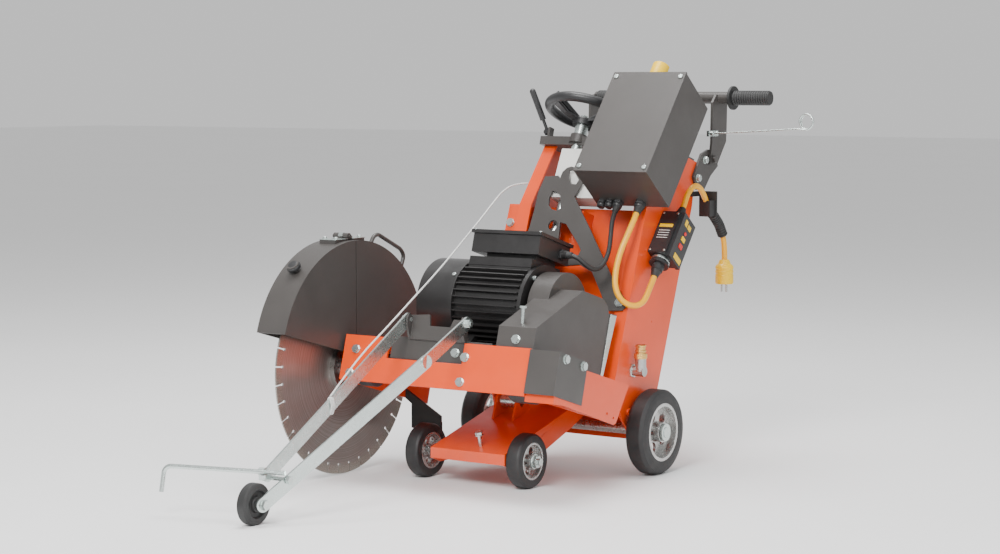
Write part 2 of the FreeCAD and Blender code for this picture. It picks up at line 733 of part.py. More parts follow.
def make_guard():
    """Fixed rear half with its handle, and the front half that flips up, with its knob."""
    centre_y, centre_z = guard_centre()
    radius = size("guard_radius")
    thick = size("guard_sheet")
    inner = size("guard_inner_x")
    outer = size("guard_outer_x")
    far = radius + 40
    top = centre_z + radius
    shaft_z = centre_z - size("guard_rise")
    hinge_z = top + 9
    everywhere = [(centre_y - far, centre_z - far), (centre_y + far, centre_z - far),
                  (centre_y + far, centre_z + far), (centre_y - far, centre_z + far)]
    hollow = guard_block(radius - thick, outer + thick, inner - thick, everywhere)
    way = rod(inner - 10, inner + 10, centre_y, shaft_z, 80)
    front_cut = [(centre_y - 1, centre_z + 5), (centre_y - 1, centre_z + far),
                 (centre_y - far, centre_z + far), (centre_y - far, centre_z + 91)]
    rear_cut = [(centre_y + 1, centre_z + 5), (centre_y + 1, centre_z + far), (centre_y + far, centre_z + far),
                (centre_y + far, centre_z - 60), (centre_y + 30, centre_z - 45)]

    front = guard_block(radius, outer, inner, front_cut).cut(hollow).cut(way)
    front_leaf = box(outer + 18, inner - 18, centre_y - 55, centre_y - 10, top - 7, top + 3)
    knuckle = rod(outer + 34.4, inner - 34.4, centre_y, hinge_z, 15)
    pin = rod(outer + 16, inner - 16, centre_y, hinge_z, 8)
    neck = box(outer + 36, inner - 36, centre_y - 12, centre_y - 5, top, hinge_z)
    normal = V(0, math.cos(math.radians(128.8)), math.sin(math.radians(128.8)))
    foot = V((inner + outer) / 2, centre_y, centre_z) + normal * (radius - 1)
    stem = Part.makeCylinder(5, 12, foot, normal)
    head = Part.makeCylinder(15, 12, foot + normal * 9, normal)
    feature("guard_front", fuse(front, front_leaf, knuckle, pin, neck, stem, head), ground)

    rear = guard_block(radius, outer, inner, rear_cut).cut(hollow).cut(way)
    rear_leaf = box(outer + 18, inner - 18, centre_y + 10, centre_y + 55, top - 7, top + 3)
    knuckles = []
    for x in (outer + 20, inner - 34):
        knuckles.append(ring(x, x + 14, centre_y, hinge_z, 15, 8.2))
        knuckles.append(box(x, x + 14, centre_y + 5, centre_y + 12, top, hinge_z))
    bracket = box(inner, size("deck_right_x"), centre_y + 50, centre_y + 105, centre_z - 32, centre_z - 10)
    handle_x = (inner + outer) / 2 + 14
    points = [V(handle_x, y, z) for y, z in ((-322, 525), (-298, 562), (-196, 516), (-183, 499), (-208, 446))]
    handle = tube_along(points, 10)[0]
    feature("guard_rear", fuse(rear, rear_leaf, bracket, handle, *knuckles), ground)


def make_belt_guard():
    """The folded upper belt guard with its round hump and back strip, and the lower cover."""
    thick = 2.0
    right = 152.0
    left = size("deck_left_x") + 1
    hump_right = 136.0
    hump_left = 191.0
    y = size("motor_y")
    z = size("motor_z")
    outline = [(-497, 86), (-497, 149), (-329, 267), (-238, 267), (-213, 255), (-201, 236), (-206, 86)]
    inside = [(-495, 80), (-495, 148), (-328.4, 265), (-238.5, 265), (-214.5, 253.6), (-203, 235.6), (-208, 80)]
    outer = prism(outline, right, left).fuse(rod(hump_right, hump_left, y, z, 172))
    inner = prism(inside, right + thick, left - thick).fuse(rod(hump_right + thick, hump_left - thick, y, z, 168))
    motor_way = rod(hump_right - 1, hump_right + thick + 1, y, z, 130)
    strip = prism([(-205, 86), (-199, 240), (-168, 243), (-190, 86)], left - 2.5, left).cut(outer)
    shell = outer.cut(inner).cut(motor_way)
    feature("belt_guard", Part.makeCompound([shell, strip]), deck)

    low = 3.0
    high = 100.5
    front = size("deck_front_y")
    rear = -385.0
    skirt = size("skirt_x") + size("plate")
    wall = box(size("deck_left_x") + 0.2, skirt + 3, front - 3, front, low, high)
    side = prism([(front, low), (front, high), (rear, high - 2), (rear, low - 2)], skirt, skirt + 3)
    roof = box(left + 1, skirt, front, rear, high - 3, high - 2.2)
    feature("belt_cover_lower", fuse(wall, side, roof), deck)


def make_splash_flap():
    """Black bar under the deck's right side with the rubber flap that hangs from it."""
    y = -230.0
    bar = [(-253, 163), (-253, 186), (-150, 128), (-150, 104), (-160, 104)]
    flap = [(-240, 92), (-240, 160), (-152, 112), (-152, 92)]
    shape = upright(bar, 6).translate(V(0, y, 0))
    rubber = upright(flap, 5).translate(V(0, y + 5, 0))
    feature("splash_flap", fuse(shape, rubber), ground)


# ---------------------------------------------------------------- pointer

def flat_bar(points, width, thick):
    """A flat bar, on edge, that follows points in its own vertical faces."""
    pieces = []
    for start, end in zip(points, points[1:]):
        run = end - start
        across = run.cross(V(0, 0, 1))
        across.normalize()
        if across.x < 0:
            across = across * -1
        rise = across.cross(run)
        rise.normalize()
        if rise.z < 0:
            rise = rise * -1
        corner = start - rise * (width / 2)
        side = [corner, corner + run, corner + run + rise * width, corner + rise * width]
        pieces.append(Part.Face(Part.makePolygon(side + side[:1])).extrude(across * thick))
        pieces.append(Part.makeCylinder(width / 2, thick, end, across))
        pieces.append(Part.makeCylinder(width / 2, thick, start, across))
    return fuse(*pieces)


def pointer_points():
    """Turning points of the pointer's two flat bars, from the deck to the small wheel."""
    hinge_y = size("pointer_hinge_y")
    hinge_z = size("pointer_hinge_z")
    near = [V(73, hinge_y, hinge_z), V(76, -611, 312), V(-62, size("pointer_wheel_y"), size("pointer_wheel_dia") / 2)]
    far = [V(-90, hinge_y, hinge_z), V(-90, -720, 226), V(-90, -948, 97)]
    return near, far


def make_pointer():
    """Two flat bars from the deck to the small wheel, with the cross bolt and sighting rod."""
    near, far = pointer_points()
    wide = size("pointer_bar")
    thick = size("pointer_bar_thick")
    axle_y = size("pointer_wheel_y")
    radius = size("pointer_wheel_dia") / 2
    wheel_x = size("pointer_wheel_x")
    hinge_y = size("pointer_hinge_y")
    hinge_z = size("pointer_hinge_z")
    rod_dia = size("pointer_rod_dia")
    cross_y = -944.0
    cross_z = 91.0
    start = V(-40, cross_y - 4, cross_z + 14.5)
    corner = V(-306, cross_y - 80, cross_z + 16)
    tip = V(-309, cross_y - 88, 52)
    along = corner - start
    clamp_foot = start + along * 0.16
    clamp = Part.makeCylinder(9, 14, clamp_foot, along)
    rod_way = Part.makeCylinder(rod_dia / 2 + 0.05, 200, start - along * 0.2, along)
    pieces = [flat_bar(near, wide, thick), flat_bar(far, wide, thick), clamp,
              rod(-92, -78, hinge_y, hinge_z, 10), rod(63, 88, hinge_y, hinge_z, 10),
              hex_bar(78, 8, hinge_y, hinge_z, 17), hex_bar(-99, 7, hinge_y, hinge_z, 17),
              rod(-96, -28, cross_y, cross_z, 10), hex_bar(-36, 8, cross_y, cross_z, 15),
              hex_bar(-104, 8, cross_y, cross_z, 15), box(-96, -78, cross_y - 22, cross_y + 4, 88, 100),
              rod(wheel_x - 16, -52, axle_y, radius, 12), rod(wheel_x - 18, wheel_x - 13.5, axle_y, radius, 20),
              hex_bar(-58, 9, axle_y, radius, 19)]
    feature("pointer_arms", fuse(*pieces).cut(rod_way), ground)

    half = 12.5
    outline = [(-half, 6.3), (-half, 16), (-half * 0.5, 18), (-half * 0.5, radius * 0.62), (-half, radius * 0.68),
               (-half, radius * 0.9), (-half * 0.7, radius), (half * 0.7, radius), (half, radius * 0.9),
               (half, radius * 0.68), (half * 0.5, radius * 0.62), (half * 0.5, 18), (half, 16), (half, 6.3)]
    revolved("pointer_wheel", outline, at(ground, V(wheel_x, axle_y, radius)))
    feature("pointer_rod", tube_along([start, corner, tip], rod_dia, 0.28)[0], ground)


# ---------------------------------------------------------------- controls

def box_frame():
    """Control box axes: x across, y down the front face from its top edge, z out of the front."""
    lean = size("box_tilt")
    rotation = FreeCAD.Rotation(X_AXIS, 90 - lean)
    origin = V(size("box_right_x"), size("box_top_y"), size("box_top_z"))
    return FreeCAD.Placement(origin, rotation)


def make_control_box():
    """Sheet-steel box, its lid, the stop button and the start button on the top face."""
    width = size("box_width")
    height = size("box_height")
    depth = size("box_depth")
    lid = size("box_lid")
    wall = 2.5
    frame = ground * box_frame()
    shell = box(0, width, -height, 0, -depth, -lid - 0.2)
    hollow = box(wall, width - wall, -height + wall, -wall, -depth + wall, 0)
    stop_x = 100.0
    start_x = 150.0
    button_depth = -30.0
    holes = [Part.makeCylinder(8.2, 12, V(x, -6, button_depth), Y_AXIS) for x in (stop_x, start_x)]
    gland_spots = ((22.0, 9.5), (43.0, 9.5), (66.0, 11.0), (126.0, 12.0))
    cavity = shell.cut(hollow).cut(holes[0]).cut(holes[1])
    feature("control_box", cavity, frame)
    lid_shape = box(-1, width + 1, -height - 1, 1, -lid, 0)
    screws = []
    for x in (10, width - 10):
        for y in (-13, -height + 13):
            screws.append(Part.makeCylinder(5, 2.5, V(x, y, 0), Z_AXIS))
    feature("control_box_lid", fuse(lid_shape, *screws), frame)
    glands = []
    for x, radius in gland_spots:
        glands.append(Part.makeCylinder(radius, 16, V(x, -height, -depth + 16), V(0, -1, 0)))
    feature("cable_glands", Part.makeCompound(glands), frame)

    shroud = Part.makeCylinder(21, 42, V(stop_x, 0, button_depth), Y_AXIS)
    inside = Part.makeCylinder(18, 40, V(stop_x, 6, button_depth), Y_AXIS)
    window = box(stop_x - 30, stop_x + 30, 14, 50, button_depth - 30, button_depth - 4)
    guide = Part.makeCylinder(8.2, 60, V(stop_x, -10, button_depth), Y_AXIS)
    feature("stop_shroud", shroud.cut(inside).cut(window).cut(guide), frame)
    stem = Part.makeCylinder(8, 36, V(stop_x, -8, button_depth), Y_AXIS)
    head = Part.makeCylinder(15, 14, V(stop_x, 26, button_depth), Y_AXIS)
    feature("stop_button", fuse(stem, head), frame)
    start_stem = Part.makeCylinder(8, 14, V(start_x, -6, button_depth), Y_AXIS)
    start_head = Part.makeCylinder(12, 5, V(start_x, 4, button_depth), Y_AXIS)
    feature("start_button", fuse(start_stem, start_head), frame)


RCD_CORNER = V(262, 96, 612)


def make_rcd():
    """Earth-leakage unit on the power cord, with its test and reset buttons and glands."""
    width = size("rcd_width")
    height = size("rcd_height")
    depth = size("rcd_depth")
    rotation = box_frame().Rotation
    frame = ground * FreeCAD.Placement(RCD_CORNER, rotation)
    body = box(0, width - 10, -height, 0, -depth, 0)
    face = box(width - 10, width, -height - 4, 2, -depth, -6)
    neck = Part.makeCylinder(21, 14, V(24, -height, -30), V(0, -1, 0))
    collar = Part.makeCylinder(24, 4, V(24, -height - 14, -30), V(0, -1, 0))
    low_gland = Part.makeCylinder(14, 16, V(24, -height - 18, -30), V(0, -1, 0))
    top_gland = Part.makeCylinder(13, 20, V(24, 0, -38), Y_AXIS)
    holes = [box(width - 6, width + 1, y, y + 12, -44, -28) for y in (-62, -82)]
    shape = fuse(body, face, neck, collar, low_gland, top_gland).cut(holes[0]).cut(holes[1])
    feature("rcd_unit", shape, frame)
    for label, y in (("rcd_test_button", -62), ("rcd_reset_button", -82)):
        feature(label, box(width - 4, width + 2, y + 0.3, y + 11.7, -43.7, -28.3), frame)


def make_handlebar():
    """Handlebar with its two arms, rubber grips, and the plates that it tilts on."""
    y = size("bar_y")
    z = size("bar_z")
    dia = size("bar_dia")
    pin_y = size("tilt_pin_y")
    pin_z = size("tilt_pin_z")
    plate = size("plate")
    gap = 0.5
    left_mount = size("column_left_x")
    right_mount = size("column_right_x") + plate
    left_arm = left_mount + plate + gap
    right_arm = right_mount + plate + gap
    bar_end = size("bar_left_x")
    bar = rod(right_arm, bar_end, y, z, dia)
    outline = [(pin_y - 16, pin_z - 12), (pin_y + 22, pin_z - 12), (pin_y + 66, 770), (pin_y + 68, 800),
               (y + 36, 866), (y + 10, z + 8), (y - 20, z + 8), (y - 38, 866), (y - 40, 800), (pin_y - 6, 770)]
    arms = []
    for x in (left_arm, right_arm):
        arms.append(prism(outline, x, x + plate).cut(rod(x - 1, x + plate + 1, pin_y, pin_z, 12.1)))
    feature("handlebar", fuse(bar, arms[0], arms[1]), ground)

    length = size("grip_length")
    flange = 6.0
    left_grip = bar_end + flange - length
    right_grip = right_arm + plate + 2
    grips = []
    for start, disc in ((left_grip, left_grip - flange), (right_grip, right_grip + length)):
        grip = rod(start, start + length, y, z, size("grip_dia"))
        grips.append(fuse(grip, rod(disc, disc + flange, y, z, 58)).cut(bar))
    feature("handlebar_grips", Part.makeCompound(grips), ground)

    plate_outline = [(272, 742), (306, 752), (346, 745), (354, 710), (318, 688), (283, 652), (250, 656), (232, 688)]
    mounts = []
    for x in (left_mount, right_mount):
        pin = rod(x + plate, x + plate + 10, pin_y, pin_z, 12)
        mounts.append(prism(plate_outline, x, x + plate).fuse(pin))
    feature("handlebar_mounts", Part.makeCompound(mounts), ground)


def make_cord_guide():
    """Long wire with a pigtail end that keeps the power cord away from the wheels."""
    dia = size("guide_wire_dia")
    start = V(276, 290, 791)
    end = V(516, 290, 805)
    centre = V(536, 290, 822)
    points = [start, V(396, 291, 797), end]
    turns = 2
    steps = 10
    for index in range(turns * steps):
        angle = math.radians(-110 + 360.0 / steps * index)
        drop = 12.0 * index / (turns * steps)
        points.append(V(centre.x + (20 - drop * 0.3) * math.cos(angle), centre.y + drop,
                        centre.z + (20 - drop * 0.3) * math.sin(angle)))
    tube, length, tightest, share = tube_along(points, dia)
    clip = box(275, 281, 283, 330, 784, 798)
    socket = rod(275, 290, 290, 791, 12)
    print("cord_guide: length %.0f, tightest bend %.1f, volume ratio %.4f" % (length, tightest, share))
    feature("cord_guide", fuse(clip, socket, tube), ground)


def make_water_inlet():
    """Pipe elbow on the column with its brass hose coupling."""
    left = size("column_left_x")
    leg = rod(left, left + 34, -45, 246, 24)
    riser = Part.makeCylinder(13, 40, V(left + 23, -45, 246), Z_AXIS)
    nut = Part.makeCylinder(15, 12, V(left + 23, -45, 276), Z_AXIS)
    stub = Part.makeCylinder(11, 22, V(left + 23, -45, 286), Z_AXIS)
    bore = Part.makeCylinder(6, 60, V(left + 23, -45, 262), Z_AXIS)
    feature("water_inlet", fuse(leg, riser, nut, stub).cut(bore), ground)


# ---------------------------------------------------------------- cords and rope

def make_cords():
    dia = size("power_cord_dia")
    box_place = box_frame()
    outward = box_place.Rotation.multVec(V(0, -1, 0))
    gland_depth = -size("box_depth") + 16
    gland_start = box_place.multVec(V(126, -size("box_height") - 16, gland_depth))
    rcd_place = FreeCAD.Placement(RCD_CORNER, box_place.Rotation)
    rcd_low = rcd_place.multVec(V(24, -size("rcd_height") - 34, -30))
    rcd_top = rcd_place.multVec(V(24, 20, -38))
    inner = [gland_start, gland_start + outward * 25, V(249, -44, 566), V(241, -66, 524), V(237, -80, 482),
             V(241, -90, 444), V(256, -90, 414), V(276, -70, 398), V(288, -38, 404),
             rcd_low + outward * 46, rcd_low]
    cord("power_cord_inner", inner, dia)
    plug_top = V(296, 340, 482)
    relief = [V(292, 262, 612), V(292, 290, 592), V(293, 315, 570), V(295, 332, 542)]
    outer = [rcd_top, rcd_top - outward * 25, V(288, 166, 650), V(290, 190, 668), V(291, 218, 666),
             V(292, 242, 643)] + relief
    outer += [plug_top + V(0, 0, 28), plug_top]
    cord("power_cord_outer", outer, dia)
    cord_way = tube_along(outer, dia + 0.2)[0]
    boot = tube_along([V(292, 271, 605.6)] + relief[1:], 22)[0]
    block = box(278, 306, 244, 274, 592, 630)
    plate = box(262, 310, 271, 275, 590, 652)
    arm = prism([(226, 640), (275, 640), (275, 652), (226, 652)], 262, 266)
    feature("cord_holder", fuse(block, plate, arm, boot).cut(cord_way), ground)
    make_plug(plug_top)
    case = deck.multVec(V(150, size("motor_y") + 30, 360)) - shift
    motor_gland = box_place.multVec(V(66, -size("box_height") - 16, gland_depth))
    cable = [case, case + V(22, 0, 0), V(190, -136, 496), V(199, -112, 482), V(206, -86, 490),
             V(208, -62, 521), V(202, -44, 558), motor_gland + outward * 30, motor_gland]
    cord("motor_cable", cable, size("motor_cable_dia"))


def make_plug(top):
    """Yellow three-pin plug that hangs from the power cord."""
    neck = Part.makeCone(22, 13, 14, top - V(0, 0, 14), Z_AXIS)
    body = Part.makeCylinder(22, 46, top - V(0, 0, 60), Z_AXIS)
    pins = [box(top.x - 7.7, top.x - 6.2, top.y - 3.2, top.y + 3.2, top.z - 78, top.z - 60),
            box(top.x + 6.2, top.x + 7.7, top.y - 3.2, top.y + 3.2, top.z - 78, top.z - 60),
            Part.makeCylinder(2.4, 21, V(top.x, top.y + 9, top.z - 81), Z_AXIS)]
    feature("power_plug", fuse(neck, body, *pins), ground)


def make_rope():
    """Thin rope that lifts the pointer, from its far bar to the eye bolt on the column."""
    points = [V(-88, -735, 237.5), V(-80, -648, 312), V(-71, -560, 368), V(-70, -450, 432), V(-72, -345, 490),
              V(-78, -245, 548), V(-88, -160, 592), V(-104, -82, 628), V(-120, -14, 655), V(-128, 50, 668),
              V(-104, 72, 669)]
    cord("pointer_rope", points, size("rope_dia"))


def hex_along(base, direction, across, length):
    """A hexagonal bolt head on a face, with its washer."""
    corner = across / math.sqrt(3)
    points = []
    for index in range(7):
        angle = math.radians(60 * index)
        points.append(V(corner * math.cos(angle), corner * math.sin(angle), 0))
    head = Part.Face(Part.makePolygon(points)).extrude(V(0, 0, length))
    washer = Part.makeCylinder(across * 0.62, 2)
    shape = fuse(head, washer)
    shape.Placement = FreeCAD.Placement(base, FreeCAD.Rotation(Z_AXIS, direction))
    return shape


def make_bolts():
    """Visible bolt heads of the frame, covers and brackets."""
    forward = V(0, -1, 0)
    leftward = V(1, 0, 0)
    fold_out = V(0, -412, 26)
    front = size("deck_front_y")
    skirt = size("skirt_x") + size("plate") + 3
    spots = [(V(-223, front, 70), forward), (V(-230, front, 14), forward), (V(80, front, 71), forward),
             (V(77, front, 15), forward), (V(203, -497, 121), forward), (V(48, -497, 80), forward),
             (V(skirt, -480, 88), leftward), (V(skirt, -404, 86), leftward),
             (V(-108, -130.6, 458), fold_out), (V(240, -148.8, 275), fold_out),
             (V(-72, -148.8, 275), fold_out)]
    heads = [hex_along(base, direction, 17, 7) for base, direction in spots]
    for x, y in ((-60, -40), (-34, -44)):
        heads.append(hex_along(V(x, y, 673), Z_AXIS, 17, 9))
    screw = Part.makeCylinder(4, 34, V(200, -478, 160), V(0, -0.2, 1))
    wing = Part.makeCylinder(9, 5, V(200, -484.7, 193.4), V(0, -0.2, 1))
    slope = prism([(-497, 149), (-329, 267), (-329, 100), (-497, 100)], 150, 250)
    heads.append(fuse(screw, wing).cut(slope))
    feature("frame_bolts", Part.makeCompound(heads), deck)


def main():
    make_deck()
    make_column()
    make_console()
    make_lifting_bracket()
    make_wheels()
    make_rear_axle()
    make_carriage()
    make_front_axle()
    make_spindle()
    make_lever()
    make_motor()
    make_pulleys()
    make_motor_plate()
    make_blade()
    make_guard()
    make_belt_guard()
    make_splash_flap()
    make_pointer()
    make_control_box()
    make_rcd()
    make_handlebar()
    make_cord_guide()
    make_water_inlet()
    make_cords()
    make_rope()
    make_bolts()
    doc.recompute()
    check_and_write()


def check_and_write():
    for item in doc.Objects:
        if "Invalid" in item.State or "Error" in item.State:
            raise RuntimeError("%s did not recompute: %s" % (item.Label, item.State))
    os.makedirs("parts", exist_ok=True)
    whole = FreeCAD.BoundBox()
    for item in parts:
        shape = item.Shape
        if shape.isNull() or not shape.isValid() or shape.Volume <= 0:
            raise RuntimeError("%s has no valid solid" % item.Label)
        whole.add(shape.BoundBox)
        shape.exportStep("parts/%s.step" % item.Label)
    print("%d parts; x %.1f..%.1f y %.1f..%.1f z %.1f..%.1f" % (
        len(parts), whole.XMin, whole.XMax, whole.YMin, whole.YMax, whole.ZMin, whole.ZMax))


main()
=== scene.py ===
import json
import math
import bpy
from mathutils import Matrix, Vector


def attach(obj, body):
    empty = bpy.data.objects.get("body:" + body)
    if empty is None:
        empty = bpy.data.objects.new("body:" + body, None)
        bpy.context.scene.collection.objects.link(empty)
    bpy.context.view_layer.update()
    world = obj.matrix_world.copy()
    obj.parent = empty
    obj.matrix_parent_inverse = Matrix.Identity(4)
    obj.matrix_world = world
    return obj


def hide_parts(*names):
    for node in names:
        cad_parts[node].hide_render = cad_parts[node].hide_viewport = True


# Looks of the walk-behind concrete saw. Lengths in the layout are in millimetres, in the same
# ground and deck coordinates as the part: origin under the rear axle, -Y forwards, +Z up.

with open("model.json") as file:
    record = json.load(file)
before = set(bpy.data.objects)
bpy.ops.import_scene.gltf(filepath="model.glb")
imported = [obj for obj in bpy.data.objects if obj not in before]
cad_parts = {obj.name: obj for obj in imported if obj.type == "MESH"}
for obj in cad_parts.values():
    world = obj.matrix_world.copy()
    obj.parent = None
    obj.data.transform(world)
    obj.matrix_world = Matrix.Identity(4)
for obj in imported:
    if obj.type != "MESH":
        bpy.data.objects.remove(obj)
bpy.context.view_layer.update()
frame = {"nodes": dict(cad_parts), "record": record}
nodes = frame["nodes"]

MM = 0.001
SHIFT = Vector((-103.7, 326.5, 0.0))


def turned(degrees, axis="X"):
    return Matrix.Rotation(math.radians(degrees), 4, axis)


def moved(x, y, z):
    return Matrix.Translation(Vector((x, y, z)))


GROUND = moved(*SHIFT)
DECK = GROUND @ moved(0, 0, 100) @ turned(-16)
BOX = GROUND @ moved(127, 95, 939) @ turned(51.1)
RCD = GROUND @ moved(262, 96, 612) @ turned(51.1)
SPINDLE = DECK @ moved(5, -57.5, 708.6) @ turned(-10)


def place(layout, *point):
    """A point of one of the layouts above, in the row frame, in metres."""
    return (layout @ Vector(point)) * MM


# ---------------------------------------------------------------- materials

def graph(name):
    material = bpy.data.materials.new(name)
    material.use_nodes = True
    tree = material.node_tree
    return material, tree, tree.nodes["Principled BSDF"]


def add(tree, kind, **inputs):
    node = tree.nodes.new(kind)
    for key, value in inputs.items():
        node.inputs[key.replace("_", " ")].default_value = value
    return node


def noise(tree, vector, scale, detail=4.0):
    node = add(tree, "ShaderNodeTexNoise", Scale=scale, Detail=detail, Roughness=0.6)
    tree.links.new(vector, node.inputs["Vector"])
    return node.outputs["Fac"]


def ramp(tree, value, low, high, out_low=0.0, out_high=1.0):
    node = tree.nodes.new("ShaderNodeMapRange")
    node.inputs["From Min"].default_value = low
    node.inputs["From Max"].default_value = high
    node.inputs["To Min"].default_value = out_low
    node.inputs["To Max"].default_value = out_high
    tree.links.new(value, node.inputs["Value"])
    return node.outputs["Result"]


def blend(tree, share, first, second):
    """Mixes two colours; each is a tuple or a socket."""
    node = tree.nodes.new("ShaderNodeMix")
    node.data_type = "RGBA"
    for index, colour in ((6, first), (7, second)):
        if isinstance(colour, tuple):
            node.inputs[index].default_value = (*colour, 1.0)
        else:
            tree.links.new(colour, node.inputs[index])
    tree.links.new(share, node.inputs[0])
    return node.outputs[2]


def shade(colour, factor):
    return tuple(min(1.0, c * factor) for c in colour)


def surface(name, colour, rough, metal=0.0, grain=(900.0, 0.02), mottle=(14.0, 0.12), spread=0.08,
            coat=0.0, dust=0.0, marks=0.0):
    """Painted, plated, moulded or cast surface with mottling, uneven gloss, grain, dust and scuffs."""
    material, tree, bsdf = graph(name)
    link = tree.links.new
    where = tree.nodes.new("ShaderNodeTexCoord").outputs["Object"]
    patches = noise(tree, where, mottle[0])
    dark = shade(colour, 1 - mottle[1])
    light = shade(colour, 1 + mottle[1])
    tint = blend(tree, ramp(tree, patches, 0.3, 0.7), dark, light)
    gloss = ramp(tree, noise(tree, where, mottle[0] * 2.3, 6.0), 0.25, 0.75, rough - spread, rough + spread)
    if marks:
        scuffs = ramp(tree, noise(tree, where, 55.0, 12.0), 0.66, 0.72, 0.0, marks)
        tint = blend(tree, scuffs, tint, shade(colour, 0.45))
    if dust:
        height = tree.nodes.new("ShaderNodeSeparateXYZ")
        link(where, height.inputs["Vector"])
        low = ramp(tree, height.outputs["Z"], 0.0, 0.32, dust, 0.0)
        patchy = tree.nodes.new("ShaderNodeMath")
        patchy.operation = "MULTIPLY"
        link(low, patchy.inputs[0])
        link(ramp(tree, noise(tree, where, 26.0, 8.0), 0.35, 0.65), patchy.inputs[1])
        tint = blend(tree, patchy.outputs[0], tint, (0.42, 0.39, 0.35))
    link(tint, bsdf.inputs["Base Color"])
    link(gloss, bsdf.inputs["Roughness"])
    bsdf.inputs["Metallic"].default_value = metal
    bsdf.inputs["Coat Weight"].default_value = coat
    bsdf.inputs["Coat Roughness"].default_value = 0.18
    bump = add(tree, "ShaderNodeBump", Strength=grain[1] * 10, Distance=0.0004)
    link(noise(tree, where, grain[0], 3.0), bump.inputs["Height"])
    link(bump.outputs["Normal"], bsdf.inputs["Normal"])
    return material


DIAMOND_RIM = 0.230


def brushed_disc(name, centre):
    """Ground steel with fine circular marks about the blade's axis and a rougher diamond rim."""
    material, tree, bsdf = graph(name)
    link = tree.links.new
    where = tree.nodes.new("ShaderNodeTexCoord").outputs["Object"]
    offset = tree.nodes.new("ShaderNodeVectorMath")
    offset.operation = "SUBTRACT"
    link(where, offset.inputs[0])
    offset.inputs[1].default_value = centre
    length = tree.nodes.new("ShaderNodeVectorMath")
    length.operation = "LENGTH"
    link(offset.outputs["Vector"], length.inputs[0])
    radius = length.outputs["Value"]
    rings = tree.nodes.new("ShaderNodeTexNoise")
    rings.noise_dimensions = "1D"
    rings.inputs["Scale"].default_value = 420.0
    rings.inputs["Detail"].default_value = 6.0
    link(radius, rings.inputs["W"])
    cloud = noise(tree, where, 9.0)
    core = blend(tree, ramp(tree, rings.outputs["Fac"], 0.3, 0.7), (0.24, 0.215, 0.20), (0.40, 0.37, 0.35))
    core = blend(tree, ramp(tree, cloud, 0.35, 0.7, 0.0, 0.4), core, (0.20, 0.17, 0.15))
    rim = ramp(tree, radius, DIAMOND_RIM - 0.0005, DIAMOND_RIM + 0.0005)
    grit = ramp(tree, noise(tree, where, 1500.0), 0.4, 0.6)
    speckle = blend(tree, grit, (0.16, 0.14, 0.12), (0.45, 0.42, 0.38))
    link(blend(tree, rim, core, speckle), bsdf.inputs["Base Color"])
    link(ramp(tree, rings.outputs["Fac"], 0.2, 0.8, 0.28, 0.46), bsdf.inputs["Roughness"])
    bsdf.inputs["Metallic"].default_value = 0.9
    bsdf.inputs["Anisotropic"].default_value = 0.6
    bump = add(tree, "ShaderNodeBump", Strength=0.12, Distance=0.0003)
    link(rings.outputs["Fac"], bump.inputs["Height"])
    link(bump.outputs["Normal"], bsdf.inputs["Normal"])
    return material


def two_tone(name, height, low, high):
    """Plated elbow below the given height and brass above it."""
    material, tree, bsdf = graph(name)
    link = tree.links.new
    where = tree.nodes.new("ShaderNodeTexCoord").outputs["Object"]
    split = tree.nodes.new("ShaderNodeSeparateXYZ")
    link(where, split.inputs["Vector"])
    share = ramp(tree, split.outputs["Z"], height - 0.0005, height + 0.0005)
    base = blend(tree, share, low, high)
    base = blend(tree, ramp(tree, noise(tree, where, 40.0), 0.4, 0.75, 0.0, 0.35), base, shade(low, 0.5))
    link(base, bsdf.inputs["Base Color"])
    bsdf.inputs["Metallic"].default_value = 0.95
    link(ramp(tree, noise(tree, where, 80.0), 0.3, 0.7, 0.22, 0.42), bsdf.inputs["Roughness"])
    return material


